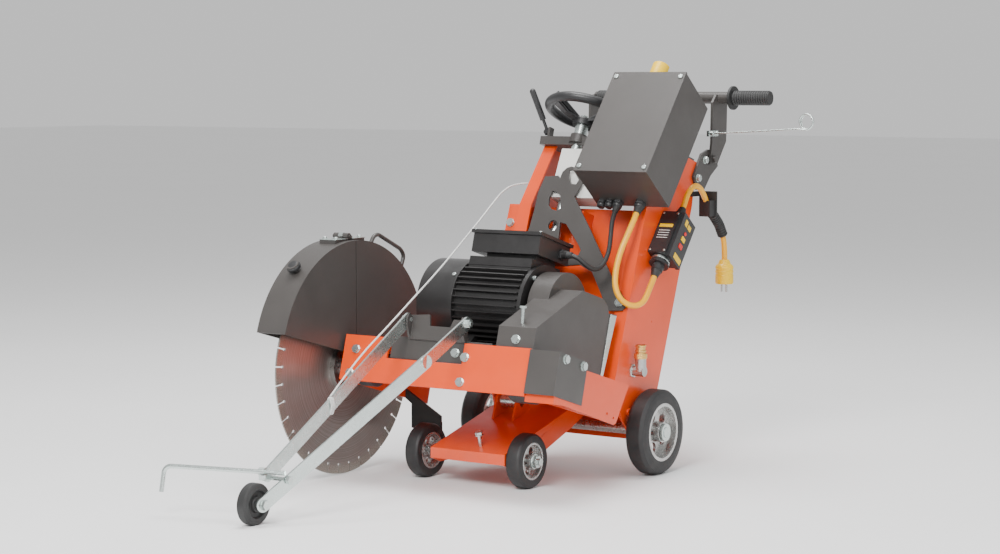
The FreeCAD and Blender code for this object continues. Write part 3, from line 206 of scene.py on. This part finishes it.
BLADE_CENTRE = (-306, -432.3, 34.3)
BRASS_HEIGHT = 0.2755
ORANGE = (0.74, 0.060, 0.001)
GREY = (0.050, 0.045, 0.042)
finishes = {
    "orange_paint": surface("orange_paint", ORANGE, 0.34, grain=(1100.0, 0.02), mottle=(8.0, 0.05), coat=0.15,
                            dust=0.05, marks=0.12),
    "grey_paint": surface("grey_paint", GREY, 0.42, grain=(1500.0, 0.05), mottle=(9.0, 0.08), coat=0.1,
                          dust=0.04, marks=0.12),
    "motor_black": surface("motor_black", (0.017, 0.016, 0.016), 0.36, grain=(700.0, 0.06),
                           mottle=(18.0, 0.2)),
    "fan_cowl_black": surface("fan_cowl_black", (0.02, 0.019, 0.019), 0.34, grain=(1200.0, 0.03),
                              mottle=(12.0, 0.15), coat=0.1),
    "zinc": surface("zinc", (0.60, 0.66, 0.64), 0.28, metal=0.95, grain=(900.0, 0.015), mottle=(35.0, 0.05),
                    spread=0.05),
    "machined_steel": surface("machined_steel", (0.48, 0.48, 0.47), 0.30, metal=1.0, grain=(900.0, 0.02)),
    "blade_steel": brushed_disc("blade_steel", tuple(place(DECK, *BLADE_CENTRE))),
    "tyre_rubber": surface("tyre_rubber", (0.013, 0.013, 0.014), 0.55, grain=(650.0, 0.08),
                           mottle=(20.0, 0.15), dust=0.03),
    "cast_alloy": surface("cast_alloy", (0.52, 0.52, 0.51), 0.26, metal=0.85, grain=(520.0, 0.06),
                          mottle=(30.0, 0.12)),
    "black_rubber": surface("black_rubber", (0.018, 0.018, 0.018), 0.55, grain=(800.0, 0.08),
                            mottle=(22.0, 0.2)),
    "black_plastic": surface("black_plastic", (0.020, 0.020, 0.021), 0.38, grain=(1000.0, 0.06),
                             mottle=(20.0, 0.15)),
    "yellow_cord": surface("yellow_cord", (0.80, 0.38, 0.001), 0.36, grain=(500.0, 0.03), mottle=(25.0, 0.05),
                           coat=0.1),
    "yellow_plastic": surface("yellow_plastic", (0.80, 0.50, 0.002), 0.32, grain=(800.0, 0.02),
                              mottle=(30.0, 0.05)),
    "red_plastic": surface("red_plastic", (0.62, 0.02, 0.012), 0.30, grain=(800.0, 0.02),
                           mottle=(30.0, 0.06)),
    "green_plastic": surface("green_plastic", (0.03, 0.32, 0.08), 0.30, grain=(800.0, 0.02),
                             mottle=(30.0, 0.06)),
    "brass": two_tone("brass", BRASS_HEIGHT, (0.50, 0.52, 0.50), (0.78, 0.50, 0.16)),
    "offwhite_plastic": surface("offwhite_plastic", (0.68, 0.67, 0.64), 0.45, grain=(700.0, 0.04),
                                mottle=(12.0, 0.04)),
    "pulley_iron": surface("pulley_iron", (0.075, 0.075, 0.08), 0.45, metal=0.6, grain=(500.0, 0.12)),
    "rope": surface("rope", (0.70, 0.70, 0.68), 0.7, grain=(1500.0, 0.3), mottle=(300.0, 0.2)),
}
slots = {row["node"]: row["material_slot"] for row in frame["record"]["subparts"]}


def finish_node(node):
    """Paints a CAD node and softens its edges, without moving anything."""
    piece = nodes[node]
    piece.data.materials.clear()
    piece.data.materials.append(finishes[slots[node]])
    piece.data.polygons.foreach_set("use_smooth", [True] * len(piece.data.polygons))
    weld = piece.modifiers.new("weld", "WELD")
    weld.merge_threshold = 0.00002
    edge = piece.modifiers.new("edge", "BEVEL")
    edge.width = 0.0007
    edge.segments = 2
    edge.limit_method = "ANGLE"
    edge.angle_limit = math.radians(32)
    edge.use_clamp_overlap = True
    edge.harden_normals = False
    normals = piece.modifiers.new("normals", "WEIGHTED_NORMAL")
    normals.keep_sharp = True


for node_name in sorted(nodes):
    finish_node(node_name)


# ---------------------------------------------------------------- piece makers

def own(piece, body, slot_name, bevel=0.0):
    """Gives a new piece its finish, its body and, if asked, softened edges."""
    piece.data.materials.append(finishes[slot_name])
    if bevel:
        edge = piece.modifiers.new("edge", "BEVEL")
        edge.width = bevel * MM
        edge.segments = 2
        edge.limit_method = "ANGLE"
        edge.angle_limit = math.radians(35)
        normals = piece.modifiers.new("normals", "WEIGHTED_NORMAL")
        normals.keep_sharp = True
    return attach(piece, body)


def mesh_piece(name, points, faces, smooth=True):
    mesh = bpy.data.meshes.new(name)
    mesh.from_pydata([tuple(p) for p in points], [], faces)
    mesh.update()
    mesh.polygons.foreach_set("use_smooth", [smooth] * len(mesh.polygons))
    piece = bpy.data.objects.new(name, mesh)
    bpy.context.scene.collection.objects.link(piece)
    return piece


def lathe(name, layout, base, axis, profile, body, slot_name, sides=40, bevel=0.3):
    """A turned piece: profile is (along the axis, radius) from base, all in the layout."""
    along = Vector(axis).normalized()
    across = along.orthogonal().normalized()
    third = along.cross(across)
    points = []
    faces = []
    for distance, radius in profile:
        for index in range(sides):
            angle = 2 * math.pi * index / sides
            rim = across * math.cos(angle) + third * math.sin(angle)
            points.append(place(layout, *(Vector(base) + along * distance + rim * radius)))
    for ring in range(len(profile) - 1):
        for index in range(sides):
            following = (index + 1) % sides
            faces.append((ring * sides + index, ring * sides + following,
                          (ring + 1) * sides + following, (ring + 1) * sides + index))
    faces.append(tuple(reversed(range(sides))))
    last = (len(profile) - 1) * sides
    faces.append(tuple(range(last, last + sides)))
    return own(mesh_piece(name, points, faces), body, slot_name, bevel)


def slab(name, layout, low, high, body, slot_name, bevel=0.6):
    """A block between two corners of the layout, with softened edges."""
    points = [place(layout, x, y, z) for x in (low[0], high[0]) for y in (low[1], high[1])
              for z in (low[2], high[2])]
    faces = [(0, 1, 3, 2), (4, 6, 7, 5), (0, 4, 5, 1), (2, 3, 7, 6), (0, 2, 6, 4), (1, 5, 7, 3)]
    return own(mesh_piece(name, points, faces, False), body, slot_name, bevel)


def sweep(name, layout, route, diameter, body, slot_name):
    """A round bar, wire or cord that follows the route."""
    curve = bpy.data.curves.new(name, "CURVE")
    curve.dimensions = "3D"
    curve.bevel_depth = diameter / 2 * MM
    curve.bevel_resolution = 5
    curve.resolution_u = 10
    curve.use_fill_caps = True
    spline = curve.splines.new("NURBS")
    spline.points.add(len(route) - 1)
    for point, spot in zip(spline.points, route):
        point.co = (*place(layout, *spot), 1.0)
    spline.order_u = 3
    spline.use_endpoint_u = True
    piece = bpy.data.objects.new(name, curve)
    bpy.context.scene.collection.objects.link(piece)
    return own(piece, body, slot_name)


WASHER = 1.6


def bolt(name, layout, base, axis, across, body, slot_name="zinc"):
    """Hexagon head with a turned crown, on its washer."""
    height = across * 0.5
    washer = [(0, across * 0.66), (WASHER, across * 0.66)]
    radius = across / math.sqrt(3)
    head = [(WASHER, radius), (height, radius), (height + 0.8, radius * 0.86)]
    lathe(name + "_washer", layout, base, axis, washer, body, slot_name, 28)
    return lathe(name, layout, base, axis, head, body, slot_name, 6, 0.4)


# ---------------------------------------------------------------- cords

GLAND = (0, -0.62796, -0.77824)


def cord_points(start, axis, distance):
    return tuple(Vector(start) + Vector(axis) * distance)


box_gland = tuple(GROUND.inverted() @ (BOX @ Vector((126, -308, -122))))
motor_gland = tuple(GROUND.inverted() @ (BOX @ Vector((66, -308, -122))))
rcd_low = tuple(GROUND.inverted() @ (RCD @ Vector((24, -151, -30))))
rcd_top = tuple(GROUND.inverted() @ (RCD @ Vector((24, 20, -38))))
terminal_gland = tuple(GROUND.inverted() @ (DECK @ Vector((150, -260, 360))))
plug_top = (296, 340, 482)

routes = {
    "power_cord_inner": [box_gland, cord_points(box_gland, GLAND, 25), (249, -44, 566), (241, -66, 524),
                         (237, -80, 482), (241, -90, 444), (256, -90, 414), (276, -70, 398), (288, -38, 404),
                         cord_points(rcd_low, GLAND, 46), rcd_low],
    "power_cord_outer": [rcd_top, cord_points(rcd_top, GLAND, -25), (288, 166, 650), (290, 190, 668),
                         (291, 218, 666), (292, 242, 643), (292, 262, 612), (292, 290, 592), (293, 315, 570),
                         (295, 332, 542), (296, 340, 510), plug_top],
    "motor_cable": [terminal_gland, cord_points(terminal_gland, (1, 0, 0), 22), (190, -136, 496),
                    (199, -112, 482), (206, -86, 490), (208, -62, 521), (202, -44, 558),
                    cord_points(motor_gland, GLAND, 30), motor_gland],
    "pointer_rope": [(-88, -735, 237.5), (-80, -648, 312), (-71, -560, 368), (-70, -450, 432),
                     (-72, -345, 490), (-78, -245, 548), (-88, -160, 592), (-104, -82, 628),
                     (-120, -14, 655), (-128, 50, 668), (-104, 72, 669)],
}
POWER_CORD = 14
MOTOR_CABLE = 11
ROPE = 4
for node_name, diameter, slot_name in (("power_cord_inner", POWER_CORD, "yellow_cord"),
                                       ("power_cord_outer", POWER_CORD, "yellow_cord"),
                                       ("motor_cable", MOTOR_CABLE, "black_rubber"),
                                       ("pointer_rope", ROPE, "rope")):
    sweep(node_name + "_run", GROUND, routes[node_name], diameter, "chassis", slot_name)
    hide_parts(node_name)


# ---------------------------------------------------------------- controls and cords in detail

def small_screw(name, layout, base, axis, radius, height):
    """Pan-head screw with a chamfered crown."""
    profile = [(0, radius), (height - 0.5, radius), (height, radius - 0.8)]
    lathe(name, layout, base, axis, profile, "chassis", "zinc", 20)


def gland_nuts():
    """Hexagon nuts and rubber domes of the four glands below the control box."""
    face_y = -292
    gland_z = -122
    for index, (x, radius) in enumerate(((22, 9.5), (43, 9.5), (66, 11), (126, 12))):
        nut = [(0, radius + 2.5), (6, radius + 2.5), (7, radius + 1.5)]
        dome = [(0, radius + 0.6), (3, radius + 1.0), (7, radius + 0.4), (10, radius - 1.5),
                (11, radius - 3.0)]
        lathe("gland_nut_%d" % index, BOX, (x, face_y, gland_z), (0, -1, 0), nut, "chassis",
              "black_plastic", 6, 0.4)
        lathe("gland_dome_%d" % index, BOX, (x, face_y - 7, gland_z), (0, -1, 0), dome, "chassis",
              "black_plastic")


def boot(name, start, axis, body_radius, cord_radius, length):
    """Tapered ribbed relief where a cord leaves a gland."""
    profile = []
    steps = 7
    rib = length / steps
    taper = (cord_radius + 1.2 - body_radius) / steps
    for index in range(steps):
        along = rib * index
        radius = body_radius + taper * index
        profile += [(along, radius), (along + rib * 0.6, radius), (along + rib * 0.7, radius - 0.9)]
    lathe(name, GROUND, start, axis, profile, "chassis", "black_rubber", 32, 0.0)


def plug():
    """Yellow plug with finger ribs, a moulded collar and three plated pins."""
    full = 22.3
    waist = 21.3
    profile = [(0, 10), (3, 13), (10, 15), (14, 20), (18, full)]
    for groove in (22, 32):
        profile += [(groove, full), (groove + 1, waist), (groove + 5, waist), (groove + 6, full)]
    profile += [(56, full), (59, 21.5), (60, 20)]
    body = lathe("plug_body", GROUND, plug_top, (0, 0, -1), profile, "chassis", "yellow_plastic", 48)
    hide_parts("power_plug")
    x, y, top = plug_top
    pins = []
    for side in (-1, 1):
        middle = x + side * 7
        pins.append(slab("plug_blade_%d" % side, GROUND, (middle - 0.8, y - 3.2, top - 80),
                         (middle + 0.8, y + 3.2, top - 60), "chassis", "zinc", 0.3))
    pins.append(lathe("plug_earth_pin", GROUND, (x, y + 9, top - 60), (0, 0, -1),
                      [(0, 2.4), (19, 2.4), (21, 1.4)], "chassis", "zinc", 20))
    return [body] + pins


def rcd_details():
    """Blank labels, indicator, cover screws and gland nuts of the earth-leakage unit."""
    face_x = 58
    slab("rcd_label", RCD, (4, -92, 0), (44, -34, 0.5), "chassis", "black_plastic", 0.2)
    slab("rcd_label_head", RCD, (6, -46, 0.5), (42, -37, 0.8), "chassis", "yellow_plastic", 0.1)
    for index in range(4):
        y = -56 - 7 * index
        slab("rcd_label_line_%d" % index, RCD, (9, y, 0.5), (39, y + 1.6, 0.7), "chassis",
             "offwhite_plastic", 0.1)
    patches = (((-24, -52), (-12, -36)), ((-24, -32), (-8, -20)), ((-114, -60), (-100, -24)))
    for index, (low, high) in enumerate(patches):
        slab("rcd_side_patch_%d" % index, RCD, (face_x, *low), (face_x + 0.5, *high), "chassis",
             "yellow_plastic", 0.2)
    lathe("rcd_indicator", RCD, (face_x, -40, -36), (1, 0, 0), [(0, 4.5), (1.6, 4.5), (2.4, 3.0)],
          "chassis", "red_plastic", 24)
    for index, (x, y) in enumerate(((5, -6), (43, -6), (5, -111), (43, -111))):
        small_screw("rcd_screw_%d" % index, RCD, (x, y, 0), (0, 0, 1), 3, 1.5)
    lathe("rcd_top_nut", RCD, (24, 2, -38), (0, 1, 0), [(0, 15), (7, 15), (8, 13.5)], "chassis",
          "black_plastic", 6, 0.5)
    lathe("rcd_low_nut", RCD, (24, -136, -30), (0, -1, 0), [(0, 15.5), (6, 15.5), (7, 14.5)], "chassis",
          "black_plastic", 6, 0.5)
    lathe("rcd_locknut", RCD, (24, -119, -30), (0, -1, 0), [(0, 23), (5, 23), (6, 21.5)], "chassis",
          "zinc", 12, 0.5)


def relief_rings():
    """Rubber ribs along the bent strain relief of the outer cord."""
    corners = [Vector(p) for p in ((292, 280, 599), (292, 290, 592), (293, 315, 570), (295, 332, 542),
                                   (295, 334, 538))]
    ring = [(-1.6, 11.6), (-1.0, 12.8), (1.0, 12.8), (1.6, 11.6)]
    pitch = 6.5
    index = 0
    for start, end in zip(corners, corners[1:]):
        run = end - start
        count = int(run.length // pitch)
        for step in range(count):
            spot = start + run * ((step + 0.5) / count)
            lathe("relief_ring_%d" % index, GROUND, spot, run, ring, "chassis", "black_rubber", 32, 0.0)
            index += 1


def lid_screws():
    head = [(0, 6.0), (2.4, 6.0), (3.4, 4.6)]
    for index, (x, y) in enumerate(((10, -13), (185, -13), (10, -279), (185, -279))):
        lathe("lid_screw_%d" % index, BOX, (x, y, 0), (0, 0, 1), head, "chassis", "zinc", 28)


def emergency_stop():
    """Domed cap of the stop button, its base ring and the ring round the start button."""
    cap = [(0, 15.3), (2, 15.0), (4, 13.0), (5.5, 9.0), (6.2, 3.0)]
    lathe("stop_cap", BOX, (100, 39, -30), (0, 1, 0), cap, "stop", "red_plastic", 48)
    lathe("stop_base_ring", BOX, (100, 0.5, -30), (0, 1, 0), [(0, 23.5), (2.5, 23.5), (3.5, 22.0)],
          "chassis", "yellow_plastic", 48)
    lathe("start_bezel", BOX, (150, 0, -30), (0, 1, 0), [(0, 16), (0.8, 16)], "chassis", "zinc", 40)


# ---------------------------------------------------------------- mechanical details

def handlebar_details():
    """Ribs round both grips, the pivot and mount bolts and the bolt of the cord guide."""
    rib_pitch = 6.4
    low = 16.6
    high = 18.0
    ribs = []
    for index in range(15):
        along = index * rib_pitch
        ribs += [(along, low), (along + 0.6, high), (along + 4.2, high), (along + 4.8, low)]
    for side, grip_x in (("left", 314), ("right", -71.5)):
        lathe("grip_ribs_%s" % side, GROUND, (grip_x, 352, 877), (1, 0, 0), ribs, "handlebar",
              "black_rubber", 40, 0.0)
    for side, arm_x in (("left", 274.5), ("right", -74.5)):
        bolt("tilt_bolt_%s" % side, GROUND, (arm_x, 318, 728), (1, 0, 0), 17, "handlebar", "grey_paint")
    for index, (y, z) in enumerate(((287, 727), (252, 684))):
        bolt("mount_bolt_%d" % index, GROUND, (268, y, z), (1, 0, 0), 15, "chassis")
    bolt("guide_clamp_bolt", GROUND, (281, 318, 791), (1, 0, 0), 10, "handlebar")


def handwheel_spokes():
    """Dished plate spokes that widen towards the rim, and the nut in the hub."""
    thick = 6
    outline = [(14, 20, 26), (-14, 20, 26), (-9, 52, 32), (9, 52, 32), (-13, 90, 49), (13, 90, 49)]
    faces = [(0, 1, 2, 3), (3, 2, 4, 5), (6, 9, 8, 7), (9, 11, 10, 8), (0, 3, 9, 6), (3, 5, 11, 9),
             (1, 7, 8, 2), (2, 8, 10, 4), (5, 4, 10, 11), (0, 6, 7, 1)]
    for index in range(3):
        layout = SPINDLE @ turned(120 * index + 30, "Z")
        points = [place(layout, x, y, z - low) for low in (0, thick) for x, y, z in outline]
        own(mesh_piece("wheel_spoke_%d" % index, points, faces), "lifting_screw", "black_plastic", 1.2)
    dome = [(0, 25), (3, 24), (5, 20), (6, 12)]
    lathe("wheel_hub_dome", SPINDLE, (0, 0, 25), (0, 0, 1), dome, "lifting_screw", "black_plastic")
    bolt("wheel_nut", SPINDLE, (0, 0, 30), (0, 0, 1), 17, "lifting_screw")


def motor_details():
    """Screws, gland nut and end-bell bolts of the motor, and the slots of its fan cowl."""
    motor_y = -290
    motor_z = 226
    for index, (x, y) in enumerate(((-50, -354), (130, -354), (-50, -226), (130, -226))):
        lathe("terminal_screw_%d" % index, DECK, (x, y, 392), (0, 0, 1), [(0, 4), (1.6, 4), (2.4, 2.6)],
              "chassis", "zinc", 20)
    lathe("terminal_nut", DECK, (132, motor_y + 30, 360), (1, 0, 0), [(0, 13.5), (6, 13.5), (7, 12.5)],
          "chassis", "black_plastic", 6, 0.4)
    bolt_circle = 84
    for index in range(6):
        angle = math.radians(60 * index + 15)
        spot = (128, motor_y + bolt_circle * math.cos(angle), motor_z + bolt_circle * math.sin(angle))
        bolt("bell_bolt_%d" % index, DECK, spot, (1, 0, 0), 10, "chassis")
    cowl_end = -158
    for index in range(9):
        y = motor_y - 62 + index * 15.5
        slab("cowl_slot_%d" % index, DECK, (cowl_end - 0.6, y - 4, motor_z - 46),
             (cowl_end + 0.4, y + 4, motor_z + 46), "chassis", "black_rubber", 0.3)
    cowl_radius = 105
    for index in range(3):
        angle = math.radians(120 * index + 30)
        outward = Vector((0, math.cos(angle), math.sin(angle)))
        spot = Vector((-72, motor_y, motor_z)) + outward * cowl_radius
        lathe("cowl_screw_%d" % index, DECK, spot, outward, [(0, 5), (2, 5), (3, 3.4)], "chassis",
              "zinc", 20)


def guard_details():
    """Hinge leaves, tube and bolts on top of the blade guard, and the grip of its knob."""
    centre = Vector((0, -406.1, 278.3))
    y = centre.y
    top = 550.3
    leaf_low = top + 2.6
    leaf_high = top + 4.2
    slab("hinge_leaf_front", GROUND, (-334, y - 56, leaf_low), (-284, y - 10, leaf_high), "front_guard",
         "zinc", 0.4)
    slab("hinge_leaf_rear", GROUND, (-334, y + 10, leaf_low), (-284, y + 56, leaf_high), "chassis",
         "zinc", 0.4)
    lathe("hinge_tube", GROUND, (-315, y, top + 9), (1, 0, 0), [(0, 8), (12, 8)], "front_guard", "zinc", 28)
    spots = ((-325, -44, "front_guard"), (-293, -44, "front_guard"), (-325, 44, "chassis"),
             (-293, 44, "chassis"))
    for index, (x, across, body) in enumerate(spots):
        bolt("hinge_bolt_%d" % index, GROUND, (x, y + across, leaf_high), (0, 0, 1), 9, body)
    knob_angle = math.radians(128.8)
    outward = Vector((0, math.cos(knob_angle), math.sin(knob_angle)))
    foot = centre + outward * 279 + Vector((-309, 0, 0))
    lathe("guard_knob_cap", GROUND, foot, outward, [(0, 16), (4, 17), (8, 17), (12, 14), (14, 8)],
          "front_guard", "black_plastic", 10, 1.0)


def pointer_details():
    """Rope turns round the far bar of the pointer, where the rope is tied on."""
    for index in range(3):
        loop = []
        for step in range(9):
            angle = math.radians(45 * step)
            loop.append((-87.5 + 5.6 * math.cos(angle), -738 + index * 4.4, 217.5 + 19.5 * math.sin(angle)))
        sweep("rope_turn_%d" % index, GROUND, loop, 3.6, "pointer", "rope")


def carriage_details():
    """Stop bolt that stands on the carriage's top plate."""
    upright = (0, -0.25, 1)
    lathe("stop_bolt_stem", GROUND, (45, -352, 88), upright, [(0, 5), (28, 5)], "carriage", "zinc", 24)
    bolt("stop_bolt_head", GROUND, (45, -359, 116), upright, 16, "carriage")


def belt_guard_painted_highlight():
    """Thin zinc sheet on the belt guard's left face, behind the guard: a painted highlight for the light
    reflected along the guard's rear edge.
    """
    outline = ((-201, 90), (-196, 238), (-170, 240), (-191, 90))
    # painted highlight: a pale zinc sheet 0.8 mm thick, laid on the guard's face where its rear edge catches
    # the light
    points = [place(DECK, x, y, z) for x in (250.2, 251.0) for y, z in outline]
    faces = [(3, 2, 1, 0), (4, 5, 6, 7), (0, 1, 5, 4), (1, 2, 6, 5), (2, 3, 7, 6), (3, 0, 4, 7)]
    own(mesh_piece("belt_guard_painted_highlight", points, faces, False), "chassis", "zinc", 0.2)


def water_details():
    """Rings, collar and lip of the brass hose coupling, and the flange of its elbow."""
    x = 285
    y = -45
    upward = (0, 0, 1)
    ring = [(0, 15.2), (0.6, 16.4), (3.2, 16.4), (3.8, 15.2)]
    for index, z in enumerate((277, 282)):
        lathe("coupling_ring_%d" % index, GROUND, (x, y, z), upward, ring, "chassis", "brass", 8, 0.3)
    collar = [(0, 11.2), (1, 13.2), (4, 13.2), (5, 11.4)]
    lip = [(0, 11.2), (0.8, 12.8), (4, 12.8), (5, 11.2)]
    lathe("coupling_collar", GROUND, (x, y, 291), upward, collar, "chassis", "brass", 32)
    lathe("coupling_lip", GROUND, (x, y, 303), upward, lip, "chassis", "brass", 32)
    lathe("elbow_flange", GROUND, (262, y, 246), (1, 0, 0), [(0, 17), (5, 17), (6, 15)], "chassis",
          "zinc", 6, 0.6)


gland_nuts()
boot("boot_inner_top", box_gland, GLAND, 10.5, 7, 16)
boot("boot_motor_top", motor_gland, GLAND, 9, 5.5, 14)
boot("boot_rcd_low", rcd_low, GLAND, 12.5, 7, 18)
boot("boot_rcd_top", rcd_top, tuple(-v for v in GLAND), 11.5, 7, 16)
boot("boot_terminal", terminal_gland, (1, 0, 0), 9, 5.5, 14)
plug_pieces = plug()
rcd_details()
relief_rings()
lid_screws()
emergency_stop()
handlebar_details()
handwheel_spokes()
motor_details()
guard_details()
pointer_details()
carriage_details()
belt_guard_painted_highlight()
water_details()


# ---------------------------------------------------------------- camera, light and floor

def studio():
    camera_data = bpy.data.cameras.new("camera")
    camera_data.sensor_width = 36.0
    camera_data.lens = 81.26
    camera_data.clip_end = 60.0
    camera = bpy.data.objects.new("camera", camera_data)
    camera.location = place(GROUND, 2922.6, -4549.6, 919.0)
    camera.rotation_euler = (math.radians(90 - 4.97), 0.0, math.radians(33.94))
    bpy.context.scene.collection.objects.link(camera)
    bpy.context.scene.camera = camera

    reach = 30
    corners = [(-reach, -reach, 0), (reach, -reach, 0), (reach, reach, 0), (-reach, reach, 0)]
    floor = mesh_piece("floor", corners, [(0, 1, 2, 3)], False)
    paint = surface("floor", (0.86, 0.86, 0.86), 0.5, grain=(60.0, 0.0), mottle=(0.5, 0.005))
    floor.data.materials.append(paint)

    world = bpy.data.worlds.new("studio")
    world.use_nodes = True
    background = world.node_tree.nodes["Background"]
    background.inputs["Color"].default_value = (1.0, 1.0, 1.0, 1.0)
    background.inputs["Strength"].default_value = 0.75
    bpy.context.scene.world = world
    for name, spot, aim, power, width in (("key", (0.6, -3.4, 3.2), (0, 0, 0.4), 210.0, 1.6),
                                          ("fill", (3.6, -1.6, 2.2), (0, 0, 0.5), 60.0, 2.6),
                                          ("top", (-0.4, 0.4, 4.2), (0, 0, 0.3), 200.0, 2.2)):
        lamp = bpy.data.lights.new(name, "AREA")
        lamp.energy = power
        lamp.size = width
        light = bpy.data.objects.new(name, lamp)
        light.location = spot
        light.rotation_euler = (Vector(aim) - Vector(spot)).to_track_quat("-Z", "Y").to_euler()
        bpy.context.scene.collection.objects.link(light)


studio()
